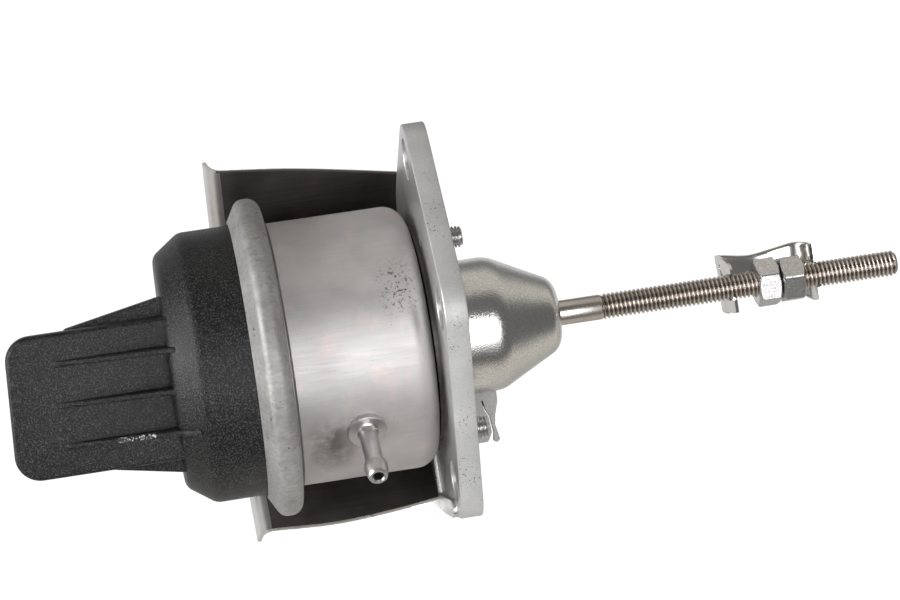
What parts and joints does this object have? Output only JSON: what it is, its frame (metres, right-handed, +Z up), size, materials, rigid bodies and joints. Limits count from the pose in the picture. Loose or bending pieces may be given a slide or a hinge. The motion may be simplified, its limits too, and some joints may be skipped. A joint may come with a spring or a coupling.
{
  "type": "boost pressure control valve",
  "caption": "Turbocharger vacuum actuator: flanged can with a position sensor cap, heat shield, and a sprung threaded rod with its nuts and lock clip.",
  "frame": {"origin": "centre of the flange's front face, on the rod's axis", "axes": "+X along the rod towards its free end, +Z up as in the picture, the side seen in the picture faces -Y"},
  "size_m": [0.206, 0.0863, 0.0898],
  "materials": {
    "flange_steel": "cast and ground, satin, with small pits",
    "can_steel": "fine circumferential brushing, satin",
    "nipple_steel": "turned, satin",
    "cap_plastic": "glass-filled black moulding, finely speckled",
    "shield_steel": "bare rolled sheet",
    "bell_steel": "drawn and polished",
    "bright_steel": "bright zinc plate",
    "bush_bronze": "machined",
    "seal_rubber": "matt",
    "spring_steel": "drawn wire",
    "board_green": "solder mask",
    "pin_metal": "tinned",
    "rod_steel": "rolled thread, bright",
    "carrier_plastic": "natural moulding",
    "magnet_iron": "sintered",
    "nut_plate": "bright plated",
    "clip_steel": "polished spring strip"
  },
  "bodies": {
    "housing": {"flange_plate": "flange_steel", "vacuum_can": "can_steel", "vacuum_nipple": "nipple_steel", "sensor_cap": "cap_plastic", "heat_shield": "shield_steel", "bell_cover": "bell_steel", "can_studs": "bright_steel", "anchor_tab": "shield_steel", "guide_bush": "bush_bronze", "rod_seal": "seal_rubber", "seal_retainer": "bright_steel", "spring_seat": "bright_steel", "return_spring": "spring_steel", "diaphragm": "seal_rubber", "circuit_board": "board_green", "sensor_chip": "cap_plastic", "connector_pins": "pin_metal"},
    "rod_assembly": {"rod": "rod_steel", "piston_cup": "bright_steel", "clamp_plate": "bright_steel", "rod_washer": "bright_steel", "magnet_carrier": "carrier_plastic", "sensor_magnet": "magnet_iron", "adjusting_nut": "nut_plate", "lock_nut": "nut_plate", "lock_clip": "clip_steel"}
  },
  "joints": [
    {"name": "rod_slide", "type": "slide", "parent": "housing", "child": "rod_assembly", "axis": [1, 0, 0], "range_m": [0, 0.01], "stiffness_N_per_m": 4000, "springref_m": -0.008, "deforming": ["return_spring", "diaphragm"]}
  ]
}
